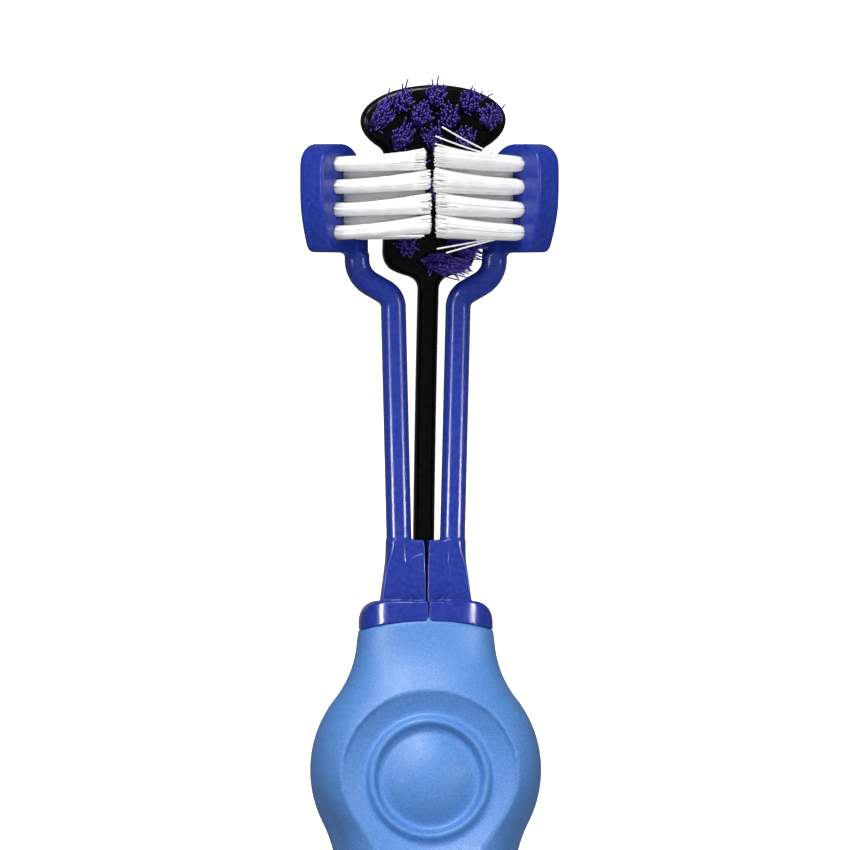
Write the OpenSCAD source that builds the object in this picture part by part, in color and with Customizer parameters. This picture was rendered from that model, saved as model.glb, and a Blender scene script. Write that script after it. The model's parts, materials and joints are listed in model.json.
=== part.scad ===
// Three-headed pet toothbrush. Two blue side arms carry white tufts that face each other, a black
// centre arm behind them carries tufts that point forward, and a soft grip with a round bulb covers
// the core of the handle. The brush lies on its flat back: +Y runs from the butt to the heads, +Z
// from the back to the thumb pad, and X = 0 is the plane on which the two blue halves meet.

/* [Overall] */
// Length from the butt to the top of the centre head
total_length = 200; // [190:1:210]
// Height of the handle's middle plane above its flat back
mid_z = 10.5; // [10.2:0.1:10.8]

/* [Handle outline] */
// Half width of the handle where the grip ends at the collar
neck_half = 9.6; // [9.2:0.1:10]
// Radius of the bulb
bulb_r = 16.17; // [15:0.01:17]
// Height of the bulb's centre along the brush
bulb_y = 4; // [3:0.5:5]
// Radius of the hollow between the bulb and the collar
top_fillet = 14.5; // [13:0.5:16]
// Half width of the waist below the bulb
waist_half = 12.3; // [11:0.1:13]
// Radius of the hollow between the bulb and the waist
waist_fillet = 20; // [16:1:24]
// Half width of the palm swell
palm_half = 13.2; // [12.5:0.1:14]
// Place of the palm swell along the brush
palm_y = -45; // [-50:1:-40]
// Half width where the butt begins to round
butt_half = 11; // [10:0.1:12]
// Length of the rounded butt
butt_round = 14; // [12:1:16]
// Squareness of the handle's cross section, 2 is an ellipse
squareness = 2.6; // [2.4:0.1:3]

/* [Handle depth] */
// Depth in front of the middle plane at the collar
collar_front = 6.2; // [5.8:0.1:6.6]
// Depth behind the middle plane at the collar
collar_back = 7.2; // [7:0.1:7.6]
// How much the front deepens for each millimetre of half width
front_gain = 0.8; // [0.76:0.02:0.84]
// Depth behind the middle plane of the palm and bulb, before the back is cut flat
palm_back = 11.1; // [11:0.1:12]

/* [Thumb pad] */
// Place of the pad's centre along the brush
thumb_y = 2.9; // [2.5:0.1:4]
// Radius of the hollow around the ring
dish_r = 12; // [11:0.5:12.5]
// Height of the hollow's floor above the flat back
floor_z = 17.4; // [17:0.1:17.6]
// Rise of the hollow from its floor to its rim
dish_rise = 2.2; // [2:0.1:2.4]
// Radius of the middle of the raised ring
ring_r = 7.9; // [7.6:0.1:8.2]
// Radius of the ring's round section
ring_section = 0.95; // [0.8:0.05:1.1]
// Radius of the dome's foot
dome_r = 6.9; // [6.5:0.1:7]
// Height of the dome over the floor of the hollow
dome_rise = 2; // [1.5:0.1:2.5]

/* [Hanging hole] */
// Radius of the hole through the butt
hang_r = 2.5; // [2:0.1:3]
// Distance from the hole to the end of the butt
hang_inset = 9; // [8.5:0.5:10]

/* [Collar and neck] */
// Highest point of the grip's arched edge
grip_top = 24.9; // [24.6:0.1:25]
// Radius of the grip's arched edge
grip_arch = 34; // [30:1:40]
// Top of the collar
collar_top = 27.7; // [27.4:0.1:28]
// Width left at the collar's top, as a share of its foot
collar_taper = 0.73; // [0.7:0.01:0.8]
// Top edge of the web between the arms
web_top = 36.2; // [35.5:0.1:37]
// Back of the neck
neck_back = 3.4; // [3.35:0.05:3.6]
// Width of the slit between the halves at its foot
slit_foot = 0.25; // [0.2:0.05:0.4]
// Width of the slit at its top
slit_top = 0.85; // [0.7:0.05:1]

/* [Core] */
// Half width of the core inside the grip
core_half = 5.6; // [5:0.1:6]
// Lower end of the core
core_foot = -80; // [-82:1:-75]
// Back and front of the core
core_back = 5.6; // [5.2:0.1:6]
core_front = 14.6; // [14:0.1:15]
// Radius of the locating posts
post_r = 1.6; // [1.4:0.1:1.8]

/* [Side arms] */
// Width of an arm
arm_w = 3.5; // [3.2:0.1:3.8]
// Depth of an arm
arm_t = 4.2; // [4:0.1:4.4]
// Distance from the middle to an arm's centre line at the web
arm_x = 3.75; // [3.6:0.05:4]
// Outward lean of the straight part, in degrees
arm_lean = 1.4; // [1:0.1:1.8]
// Place along the brush at which an arm flexes
hinge_y = 43; // [42:0.5:44]
// Place at which an arm starts to bend round the centre head
bend_y = 68.8; // [68:0.1:69.5]
// Radius of the first bend, along the centre line
bend_r1 = 2.6; // [2.4:0.1:3]
// Radius of the second bend
bend_r2 = 3.9; // [3.6:0.1:4.2]
// Straight run between the bends
bend_run = 2.14; // [2:0.01:2.3]
// Angle of the bends
bend_turn = 60; // [55:1:63]

/* [Side heads] */
// Angle by which the tufts point forward
tilt = 34; // [33:0.5:35]
// Depth of a head plate from its front edge to its rear edge
plate_d = 12; // [11.5:0.1:12.2]
// Height of a head plate
plate_h = 15.2; // [15:0.1:15.6]
// Thickness of a head plate
plate_t = 4.1; // [3.8:0.1:4.2]
// Middle of a head plate along the brush
plate_y = 84; // [83.5:0.1:84.5]
// Distance of the front edge of the tuft face from the middle
plate_x = 15.2; // [14.9:0.05:15.4]
// Height of the front edge of the tuft face
plate_z = 20.7; // [20.5:0.1:21]
// Distance from the front edge to the first row of tufts
row_inset = 4.5; // [4.3:0.1:4.6]
// Distance between rows
row_pitch = 2.6; // [2.6:0.05:2.65]
// Distance between tufts in a row
tuft_pitch = 3.2; // [3.15:0.05:3.3]
// Gap from the tips to the plane on which the two heads meet
tip_gap = 0.35; // [0.3:0.05:0.5]

/* [Centre arm] */
// Width of the stem
stem_w = 2.95; // [2.8:0.05:3.1]
// Back and front of the stem
stem_back = 4.2; // [4.1:0.1:4.4]
stem_front = 6.8; // [6.6:0.05:6.8]
// Back of the centre head
head_back = 3.6; // [3.4:0.1:3.8]
// Sideways lean of the arm, in degrees
stem_lean = 1.2; // [0:0.1:1.2]
// Place and radius of the root disc between the halves
root_y = 31; // [30.8:0.1:31.2]
root_r = 3; // [2.8:0.1:3.1]
// Half width and half height of the head's broad end
lobe_half = 10.2; // [10:0.1:10.3]
lobe_high = 5; // [4.8:0.1:5.1]
// Half height of the broad end below its widest place
lobe_low = 5.5; // [5.2:0.1:5.8]
// Half width of the head's narrow part
body_half = 6.55; // [6.4:0.05:6.6]
// Place at which the stem widens into the head
neck_y = 71.8; // [71.4:0.1:72]
// Tips of the centre tufts
centre_tips = 12.6; // [11.5:0.1:12.6]

/* [Tufts] */
// Radius of a tuft in its hole
tuft_r = 1.05; // [0.95:0.05:1.05]
// Gap between a tuft and the wall of its hole
tuft_gap = 0.05; // [0.02:0.01:0.05]
// Depth of a tuft hole
hole_d = 2.6; // [2.4:0.1:2.8]
// Radius that a tuft gains for each millimetre of its free length
tuft_flare = 0.028; // [0.02:0.001:0.028]
// Size of the flat anchor: across the hole, along it and through
anchor_size = [2.7, 1.3, 0.3];

/* [Joints] */
// Gap between an arm's knuckle and its socket
knuckle_gap = 0.08; // [0.05:0.01:0.1]

/* [Hidden] */
$fn = 48;
row_sides = [4, 3, 4];
side_tufts = [for (r = [0:2]) for (k = [0:row_sides[r] - 1]) [
    plate_y + (k - (row_sides[r] - 1) / 2) * tuft_pitch,
    row_inset + r * row_pitch
]];
centre_tufts = [
    [0, 97.7], [-4.8, 97], [4.8, 97], [-8, 94.6], [8, 94.6],
    [-2.4, 94.7], [2.4, 94.7],
    [0, 91.6], [-4.7, 91.6], [4.7, 91.6],
    [-2.4, 88], [2.4, 88],
    [0, 84.6], [-4, 84.6], [4, 84.6],
    [-2.4, 81.2], [2.4, 81.2],
    [-3.1, 77.8], [3.1, 77.8],
    [0, 75.2]
];
function two(i) = i < 9 ? str("0", i + 1) : str(i + 1);
function tuft_names(head, tufts) = [for (i = [0:len(tufts) - 1]) str(head, "_tuft_", two(i))];
left_names = tuft_names("left", side_tufts);
right_names = tuft_names("right", side_tufts);
centre_names = tuft_names("centre", centre_tufts);

half_length = total_length / 2;
cap_y = -half_length + butt_round;
top_centre_y = bulb_y + sqrt(pow(bulb_r + top_fillet, 2) - pow(neck_half + top_fillet, 2));
top_tangent_y = bulb_y + (top_centre_y - bulb_y) * bulb_r / (bulb_r + top_fillet);
waist_y = bulb_y - sqrt(pow(bulb_r + waist_fillet, 2) - pow(waist_half + waist_fillet, 2));
waist_tangent_y = bulb_y - (bulb_y - waist_y) * bulb_r / (bulb_r + waist_fillet);
side_foot = grip_top - grip_arch + sqrt(pow(grip_arch, 2) - pow(neck_half, 2));
lobe_y = half_length - lobe_high;
stem_mid_z = (stem_back + stem_front) / 2;

grip_blue = "#6E9EDE";
gloss_blue = "#3442AF";
gloss_black = "#1A1A1A";
white_bristle = "#F4F4F2";
purple_bristle = "#3C2D96";
brass = "#C9B26B";

// ---------- outline of the handle ----------

function ease(t) = (1 - cos(180 * min(max(t, 0), 1))) / 2;
function mix(a, b, t) = a + (b - a) * t;
function palm_width(y) = y > palm_y
    ? mix(waist_half, palm_half, ease((waist_y - y) / (waist_y - palm_y)))
    : mix(palm_half, butt_half, ease((palm_y - y) / (palm_y - cap_y)));
function plain_width(y) =
    y > top_centre_y ? neck_half :
    y > top_tangent_y ? neck_half + top_fillet - sqrt(pow(top_fillet, 2) - pow(top_centre_y - y, 2)) :
    y > waist_tangent_y ? sqrt(pow(bulb_r, 2) - pow(y - bulb_y, 2)) :
    y > waist_y ? waist_half + waist_fillet - sqrt(pow(waist_fillet, 2) - pow(y - waist_y, 2)) :
    palm_width(y);
// rounding of the butt below cap_y and of the collar's shoulder above the grip
function end_scale(y) =
    y < cap_y ? sqrt(1 - pow(0.995 * (cap_y - y) / butt_round, 2)) :
    y > side_foot ? mix(collar_taper, 1, sqrt(1 - pow((y - side_foot) / (collar_top - side_foot), 2))) :
    1;
function half_width(y) = plain_width(y) * end_scale(y);
function front_depth(y) = (collar_front + front_gain * (plain_width(y) - neck_half)) * end_scale(y);
function back_depth(y) = mix(palm_back, collar_back, ease((y - bulb_y) / (side_foot - bulb_y))) * end_scale(y);

// ---------- general shapes ----------

function signed_power(v, p) = sign(v) * pow(abs(v), p);
function ring_point(y, angle) = [
    half_width(y) * signed_power(cos(angle), 2 / squareness),
    y,
    mid_z + (angle < 180 ? front_depth(y) : back_depth(y)) * signed_power(sin(angle), 2 / squareness)
];
// closed body of the handle's outline through the stations ys, from low to high
module handle_form(ys, sides = 40) {
    rings = len(ys) - 1;
    corners = [for (y = ys) for (k = [0:sides - 1]) ring_point(y, 360 * k / sides)];
    foot = [for (k = [0:sides - 1]) sides - 1 - k];
    top = [for (k = [0:sides - 1]) rings * sides + k];
    walls = [for (i = [0:rings - 1]) for (k = [0:sides - 1])
        let (a = i * sides + k, b = i * sides + (k + 1) % sides)
        each [[a, b, b + sides], [a, b + sides, a + sides]]];
    polyhedron(points = corners, faces = concat([foot, top], walls), convexity = 6);
}

function unit(v) = v / norm(v);
// arc that rounds the corner p between its neighbours a and b
function corner_arc(a, p, b, r, steps = 5) =
    let (
        u = unit(a - p),
        v = unit(b - p),
        half = acos(u * v) / 2,
        centre = p + unit(u + v) * r / sin(half),
        from = p + u * r / tan(half) - centre,
        to = p + v * r / tan(half) - centre,
        start = atan2(from.y, from.x),
        turn = (atan2(to.y, to.x) - start + 540) % 360 - 180
    )
    [for (i = [0:steps]) centre + r * [cos(start + turn * i / steps), sin(start + turn * i / steps)]];
function xy(p) = [p.x, p.y];
// outline of a polygon whose corners are [x, y, radius]
function rounded(corners) =
    let (n = len(corners))
    [for (i = [0:n - 1])
        let (p = corners[i])
        each p[2] == 0 ? [xy(p)] : corner_arc(xy(corners[(i + n - 1) % n]), xy(p), xy(corners[(i + 1) % n]), p[2])];

// body of an outline in the XY plane between two heights
module slab(outline, back, front) {
    translate([0, 0, back])
        linear_extrude(height = front - back)
            polygon(outline);
}

// ---------- handle ----------

// space outside the grip's arched edge
module above_grip() {
    difference() {
        translate([-20, side_foot - 1, -1]) cube([40, 10, 30]);
        translate([0, grip_top - grip_arch, -2]) cylinder(h = 40, r = grip_arch, $fn = 96);
        translate([-20, side_foot - 2, -2]) cube([40, 2, 40]);
    }
}

module core_bar() {
    chamfer = 1.5;
    profile = rounded([
        [-core_half, core_foot, 3], [core_half, core_foot, 3],
        [core_half, grip_top + 1, 0], [-core_half, grip_top + 1, 0]
    ]);
    intersection() {
        slab(profile, core_back, core_front);
        rotate([90, 0, 0])
            linear_extrude(height = 2 * total_length, center = true)
                polygon([
                    [-core_half, core_back + chamfer], [-core_half + chamfer, core_back],
                    [core_half - chamfer, core_back], [core_half, core_back + chamfer],
                    [core_half, core_front - chamfer], [core_half - chamfer, core_front],
                    [-core_half + chamfer, core_front], [-core_half, core_front - chamfer]
                ]);
    }
}

module thumb_dish() {
    flat_r = ring_r + ring_section / 2;
    above = floor_z + 6;
    translate([0, thumb_y, 0])
        rotate_extrude($fn = 72)
            polygon([
                [0, floor_z], [flat_r, floor_z],
                for (a = [15:15:90]) [mix(flat_r, dish_r, sin(a)), mix(floor_z, floor_z + dish_rise, 1 - cos(a))],
                [dish_r, above], [0, above]
            ]);
}
module thumb_ring() {
    sink = 0.35;
    translate([0, thumb_y, floor_z + sink])
        rotate_extrude($fn = 72)
            translate([ring_r, 0]) circle(r = ring_section, $fn = 24);
}
module thumb_dome() {
    ball_r = (pow(dome_r, 2) + pow(dome_rise, 2)) / (2 * dome_rise);
    translate([0, thumb_y, floor_z])
        intersection() {
            translate([0, 0, dome_rise - ball_r]) sphere(r = ball_r, $fn = 72);
            translate([0, 0, -0.5]) cylinder(h = dome_rise + 1, r = dome_r, $fn = 72);
        }
}

butt_steps = [for (i = [0:7]) cap_y - butt_round * cos(90 * i / 8)];
palm_steps = [for (i = [0:15]) mix(cap_y, waist_y, i / 16)];
bulb_steps = [for (i = [0:13]) mix(waist_y, top_tangent_y, i / 14)];
neck_steps = [for (i = [0:5]) mix(top_tangent_y, grip_top + 0.2, i / 5)];
module grip_sleeve() color(grip_blue) {
    difference() {
        handle_form(concat(butt_steps, palm_steps, bulb_steps, neck_steps));
        translate([-30, -half_length - 1, -5]) cube([60, total_length, 5]);
        above_grip();
        core_bar();
        thumb_dish();
        translate([0, -half_length + hang_inset, -1]) cylinder(h = 30, r = hang_r);
    }
    thumb_ring();
    thumb_dome();
}

// one blue half without its flexing arm: core, collar, neck and the foot of the arm
function arm_centre(y) = arm_x + (y - web_top) * tan(arm_lean);
function neck_outline() =
    let (inner = arm_centre(web_top) - arm_w / 2, outer = arm_centre(web_top) + arm_w / 2)
    rounded([
        [0, side_foot + 2, 0], [0, web_top, 0], [-inner, web_top, 0],
        [-outer, web_top, 0], [-outer - 0.25, root_y, 12],
        [-outer - 1.2, collar_top - 0.4, 1.6], [-outer - 1.2, side_foot + 2, 0]
    ]);
function foot_outline() = [
    [-arm_centre(web_top - 2) + arm_w / 2, web_top - 2], [-arm_centre(hinge_y) + arm_w / 2, hinge_y],
    [-arm_centre(hinge_y) - arm_w / 2, hinge_y], [-arm_centre(web_top - 2) - arm_w / 2, web_top - 2]
];
arm_back = mid_z - arm_t / 2;
arm_front = mid_z + arm_t / 2;
collar_steps = [side_foot - 1.5, side_foot, for (i = [1:6]) mix(side_foot, collar_top, sin(15 * i))];

module root_pocket() {
    play = 0.05;
    translate([0, root_y, stem_back - play])
        cylinder(h = stem_front - stem_back + 2 * play, r = root_r + play);
    channel = stem_w / 2 + 0.2;
    translate([-channel, root_y, stem_back - play])
        cube([2 * channel, web_top - root_y + 1, stem_front - stem_back + 2 * play]);
}

module centre_slit() {
    foot_y = side_foot + 1.9;
    slab([
        [-slit_foot / 2, foot_y], [slit_foot / 2, foot_y],
        [slit_top / 2, web_top + 1], [-slit_top / 2, web_top + 1]
    ], -1, 30);
}

module left_half() {
    difference() {
        union() {
            intersection() {
                handle_form(collar_steps);
                above_grip();
                translate([-20, 0, 0]) cube([20, 50, 30]);
            }
            intersection() {
                core_bar();
                translate([-20, -half_length, 0]) cube([20, 2 * half_length, 30]);
            }
            slab(neck_outline(), neck_back, arm_front);
            slab(foot_outline(), arm_back, arm_front);
        }
        root_pocket();
        centre_slit();
        translate([-arm_centre(hinge_y), hinge_y, 0])
            cylinder(h = 30, r = arm_w / 2 + knuckle_gap);
    }
}

post_places = [-65, -25, 12];
module posts(r, depth) {
    for (y = post_places)
        translate([0, y, mid_z - 0.5])
            rotate([0, 90, 0]) cylinder(h = depth, r = r);
}
module left_frame() color(gloss_blue) {
    left_half();
    posts(post_r, 3);
}
module right_frame() color(gloss_blue) {
    difference() {
        mirror([1, 0, 0]) left_half();
        posts(post_r + 0.05, 3.1);
    }
}

// ---------- tufts and their anchors, along +X from the tuft face ----------

module tuft_hole() {
    translate([-hole_d, 0, 0]) rotate([0, 90, 0]) cylinder(h = hole_d + 1, r = tuft_r + tuft_gap);
    anchor();
}
module anchor() {
    translate([-hole_d + 0.3, -anchor_size[0] / 2, -anchor_size[2] / 2])
        cube([anchor_size[1], anchor_size[0], anchor_size[2]]);
}
module tuft(free) {
    difference() {
        union() {
            translate([-hole_d, 0, 0]) rotate([0, 90, 0]) cylinder(h = hole_d, r = tuft_r);
            rotate([0, 90, 0]) cylinder(h = free, r1 = tuft_r, r2 = tuft_r + tuft_flare * free);
        }
        anchor();
    }
}

// ---------- left arm; the right one is its mirror image ----------

// places its children in the frame of a head plate: X along the tufts, Y up, Z to the front edge
module on_plate() {
    translate([-plate_x, 0, plate_z]) rotate([0, -tilt, 0]) children();
}

// places [x, y, heading] on an arc that starts at p and turns by turn degrees, left is positive
function arc_path(p, r, turn, steps = 6) =
    let (side = sign(turn), centre = xy(p) + side * r * [cos(p[2] + 90), sin(p[2] + 90)])
    [for (i = [0:steps])
        let (h = p[2] + turn * i / steps, c = centre - side * r * [cos(h + 90), sin(h + 90)])
        [c.x, c.y, h]];
function ahead(p, run) = [p.x + run * cos(p[2]), p.y + run * sin(p[2]), p[2]];
function last(list) = list[len(list) - 1];
function arm_path() =
    let (
        start = [-arm_centre(hinge_y), hinge_y, 90 + arm_lean],
        first = arc_path(ahead(start, (bend_y - hinge_y) / cos(arm_lean)), bend_r1, bend_turn - arm_lean),
        second = arc_path(ahead(last(first), bend_run), bend_r2, -bend_turn)
    )
    concat([start], first, second, [ahead(last(second), 4.5)]);
// outline of a band of width w along a path
function band(path, w) = concat(
    [for (p = path) [p.x - w / 2 * sin(p[2]), p.y + w / 2 * cos(p[2])]],
    [for (i = [len(path) - 1:-1:0])
        let (p = path[i]) [p.x + w / 2 * sin(p[2]), p.y - w / 2 * cos(p[2])]]
);

module head_plate() {
    low = plate_y - plate_h / 2;
    high = plate_y + plate_h / 2;
    outline = rounded([
        [0, low + 0.4, 2.8], [0, high, 2.2], [-plate_d, high - 0.4, 4.6], [-plate_d, low, 1.6]
    ]);
    rotate([0, -90, 0])
        linear_extrude(height = plate_t)
            polygon(outline);
}

module left_arm_body() {
    difference() {
        union() {
            slab(band(arm_path(), arm_w), arm_back, arm_front);
            translate([-arm_centre(hinge_y), hinge_y, arm_back]) cylinder(h = arm_t, r = arm_w / 2);
            on_plate() head_plate();
        }
        on_plate()
            for (t = side_tufts) translate([0, t.x, -t.y]) tuft_hole();
        // beside the head plate nothing of the arm stands in front of the tuft face
        on_plate() translate([0, plate_y - plate_h / 2, -2 * plate_d]) cube([20, plate_h, 3 * plate_d]);
    }
}
module side_tuft(place) {
    root_x = plate_x - place.y * sin(tilt);
    free = (root_x + 2) / cos(tilt);
    intersection() {
        on_plate() translate([0, place.x, -place.y]) tuft(free);
        translate([-30, 0, 0]) cube([30 - tip_gap, total_length, 40]);
    }
}
module left_anchor_set() {
    on_plate()
        for (t = side_tufts) translate([0, t.x, -t.y]) anchor();
}

module left_arm() color(gloss_blue) left_arm_body();
module right_arm() color(gloss_blue) mirror([1, 0, 0]) left_arm_body();
module left_anchors() color(brass) left_anchor_set();
module right_anchors() color(brass) mirror([1, 0, 0]) left_anchor_set();

// ---------- centre arm ----------

module leaning() {
    translate([0, root_y, 0]) rotate([0, 0, -stem_lean]) translate([0, -root_y, 0]) children();
}
module stem(low, high) {
    translate([-stem_w / 2, low, stem_back]) cube([stem_w, high - low, stem_front - stem_back]);
}
module stem_knuckle(r) {
    translate([0, hinge_y, stem_mid_z]) rotate([0, 90, 0]) cylinder(h = 2 * stem_w, r = r, center = true);
}
module centre_root() color(gloss_black) leaning() {
    difference() {
        union() {
            translate([0, root_y, stem_back]) cylinder(h = stem_front - stem_back, r = root_r);
            stem(root_y, hinge_y);
        }
        stem_knuckle((stem_front - stem_back) / 2 + knuckle_gap);
    }
}

// right half of the head's outline, from the stem to the top
function head_side() =
    let (
        join = acos(body_half / lobe_half),
        body = rounded([
            [0, neck_y - 4, 0], [stem_w / 2, neck_y - 4, 0], [stem_w / 2, neck_y, 2],
            [body_half, neck_y + 3.5, 2.5], [body_half, lobe_y - lobe_low * sin(join), 0], [0, lobe_y, 0]
        ])
    )
    concat(
        [for (i = [0:len(body) - 2]) body[i]],
        [for (i = [1:7]) let (a = -join * (1 - i / 7)) [lobe_half * cos(a), lobe_y + lobe_low * sin(a)]],
        [for (a = [10:10:90]) [lobe_half * cos(a), lobe_y + lobe_high * sin(a)]]
    );
module centre_arm() color(gloss_black) leaning() {
    side = head_side();
    left_side = [for (i = [len(side) - 2:-1:1]) [-side[i].x, side[i].y]];
    difference() {
        union() {
            slab(concat(side, left_side), head_back, stem_front);
            stem(hinge_y, neck_y);
            intersection() {
                stem_knuckle((stem_front - stem_back) / 2);
                translate([-stem_w / 2, 0, 0]) cube([stem_w, 2 * hinge_y, 30]);
            }
        }
        for (t = centre_tufts) upright_at(t) tuft_hole();
    }
}
module upright_at(place) {
    translate([place.x, place.y, stem_front]) rotate([0, -90, 0]) children();
}
module centre_tuft(place) {
    leaning() upright_at(place) tuft(centre_tips - stem_front);
}
module centre_anchors() color(brass) leaning() {
    for (t = centre_tufts) upright_at(t) anchor();
}

// ---------- drawing ----------

grip_sleeve();
left_frame();
right_frame();
centre_root();
left_arm();
right_arm();
centre_arm();
left_anchors();
right_anchors();
centre_anchors();
for (i = [0:len(side_tufts) - 1]) {
    color(white_bristle) side_tuft(side_tufts[i]);
    color(white_bristle) mirror([1, 0, 0]) side_tuft(side_tufts[i]);
}
for (i = [0:len(centre_tufts) - 1])
    color(purple_bristle) centre_tuft(centre_tufts[i]);
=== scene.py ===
"""Looks of the three-headed pet toothbrush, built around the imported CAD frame.

Lengths are in millimetres until a mesh is made. The moulded pieces are distance fields that are turned
into meshes, so that every fillet is a real surface, and each tuft is a bundle of separate bristles.
"""

import json
import math

import bpy
import numpy as np
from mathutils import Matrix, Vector


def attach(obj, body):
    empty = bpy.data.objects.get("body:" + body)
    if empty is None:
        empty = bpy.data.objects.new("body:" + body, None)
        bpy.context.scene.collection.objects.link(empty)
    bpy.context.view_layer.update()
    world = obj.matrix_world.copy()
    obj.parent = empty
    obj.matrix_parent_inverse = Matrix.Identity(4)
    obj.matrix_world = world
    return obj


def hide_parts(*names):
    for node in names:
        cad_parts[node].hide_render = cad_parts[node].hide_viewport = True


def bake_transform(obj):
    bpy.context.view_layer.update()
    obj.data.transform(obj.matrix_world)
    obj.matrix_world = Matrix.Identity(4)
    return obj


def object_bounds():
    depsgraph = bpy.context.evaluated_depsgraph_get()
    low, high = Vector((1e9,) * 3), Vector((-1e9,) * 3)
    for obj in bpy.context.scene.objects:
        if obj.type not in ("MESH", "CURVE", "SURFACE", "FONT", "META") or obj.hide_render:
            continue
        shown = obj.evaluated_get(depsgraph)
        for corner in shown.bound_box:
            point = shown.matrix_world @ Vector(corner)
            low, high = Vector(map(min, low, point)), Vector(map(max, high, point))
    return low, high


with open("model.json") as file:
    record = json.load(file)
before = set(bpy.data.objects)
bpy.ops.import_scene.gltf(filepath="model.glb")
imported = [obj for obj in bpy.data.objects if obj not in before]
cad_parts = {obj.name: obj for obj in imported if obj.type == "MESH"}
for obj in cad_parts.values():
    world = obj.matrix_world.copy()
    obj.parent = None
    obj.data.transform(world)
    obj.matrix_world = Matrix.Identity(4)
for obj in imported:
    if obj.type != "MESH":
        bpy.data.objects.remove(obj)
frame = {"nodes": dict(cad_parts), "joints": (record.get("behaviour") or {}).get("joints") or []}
cad_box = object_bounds()
MM = 0.001

# ---------------------------------------------------------------- sizes


def joint(name):
    """Place of a joint in millimetres."""
    found = [j for j in frame["joints"] if j["name"] == name][0]
    return [v / MM for v in found["pos_m"]]


HINGE_X, HINGE_Y, MID_Z = joint("right_arm_flex")
TOP_Y = cad_box[1][1] / MM
BUTT_Y = cad_box[0][1] / MM

# handle
NECK_HALF, BULB_R, BULB_Y = 9.6, 16.17, 4.0
TOP_FILLET, WAIST_HALF, WAIST_FILLET = 14.5, 12.3, 20.0
PALM_HALF, PALM_Y, BUTT_HALF, BUTT_ROUND = 13.2, -45.0, 11.0, 14.0
SQUARENESS = 2.6
COLLAR_FRONT, COLLAR_BACK, FRONT_GAIN, PALM_BACK = 6.2, 7.2, 0.8, 11.1
CAP_Y = BUTT_Y + BUTT_ROUND
TOP_CENTRE = BULB_Y + math.sqrt((BULB_R + TOP_FILLET) ** 2 - (NECK_HALF + TOP_FILLET) ** 2)
TOP_TANGENT = BULB_Y + (TOP_CENTRE - BULB_Y) * BULB_R / (BULB_R + TOP_FILLET)
WAIST_Y = BULB_Y - math.sqrt((BULB_R + WAIST_FILLET) ** 2 - (WAIST_HALF + WAIST_FILLET) ** 2)
WAIST_TANGENT = BULB_Y - (BULB_Y - WAIST_Y) * BULB_R / (BULB_R + WAIST_FILLET)
GRIP_TOP, GRIP_ARCH = 24.9, 34.0
SIDE_FOOT = GRIP_TOP - GRIP_ARCH + math.sqrt(GRIP_ARCH**2 - NECK_HALF**2)
HANDLE_SWELLS = [(15.5, 0.45), (-8.5, 0.35)]  # Y and height of the fuller front above and below the dish
SWELL_LENGTH = 4.0
SIDE_DRAW = 0.016  # share by which the grip's sides draw in at its upper edge
HOLLOW_X, HOLLOW_Y, HOLLOW_WIDE, HOLLOW_LONG, HOLLOW_DEPTH = 13.5, -7, 4.0, 9, 0.7
PANEL_Y, PANEL_HALF, PANEL_LONG, PANEL_CORNER, PANEL_RISE = -36, 6.9, 36, 6.4, 0.6
SEAM_POINT, SEAM_POINT_WIDE = 0.55, 0.28
THUMB_Y = 2.9
FLOOR_Z, RIM_R, RIM_RISE, RING_R, RING_SECTION = 17.4, 12.2, 1.45, 8.0, 0.95
MOAT_DEPTH, RING_RISE, RING_SOFT, DOME_R, DOME_RISE = 0.35, 1.15, 0.8, 6.8, 2.5
HANG_R, HANG_Y = 2.5, BUTT_Y + 9.0
CORE_HALF, CORE_FOOT, CORE_TOP, CORE_BACK, CORE_FRONT, CORE_CHAMFER = 5.6, -80.0, 20.0, 5.6, 14.6, 1.5

# collar, neck and side arms
COLLAR_TOP, WEB_TOP, NECK_BACK, ROOT_Y = 27.7, 36.2, 3.4, 31.0
COLLAR_HALF, COLLAR_LONG, COLLAR_CORNER, COLLAR_EDGE = 9.42, 6.0, 3.1, 0.35
NECK_TOP_HALF, NECK_FLARE, NECK_FLARE_Y, NECK_FLARE_SOFT = 5.5, 0.070, 33.7, 1.2
BOSS_R, BOSS_RISE, CREASE_RISE, CREASE_HALF = 3.5, 0.12, 0.11, 0.2
ARM_W, ARM_T, ARM_LEAN = 3.5, 4.2, 1.4
ARM_BEVEL, ARM_BEVEL_SOFT = 2.06, 0.75  # distance of the bevels from the arm's centre line, softness
BEND_Y, BEND_R1, BEND_R2, BEND_RUN, BEND_TURN = 68.8, 2.6, 3.9, 2.14, 60.0

# side heads
TILT = math.radians(34)
PLATE_X, PLATE_Y, PLATE_Z = 15.2, 84.0, 20.7
PLATE_D, PLATE_H, PLATE_T = 12.0, 15.2, 4.1
FRONT_CORNERS, BACK_CORNERS = (3.2, 3.6), (2.2, 6.0)  # radii of the plate's corners, lower and upper
TAPER_TOP, TAPER_CURVE = 86.0, 0.027
ROW_INSET, ROW_PITCH, TUFT_PITCH, ROWS = 4.5, 2.6, 3.2, (4, 3, 4)
TUFT_R, HOLE_R, HOLE_D, HOLE_SOFT = 1.05, 1.1, 2.6, 0.12

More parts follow.
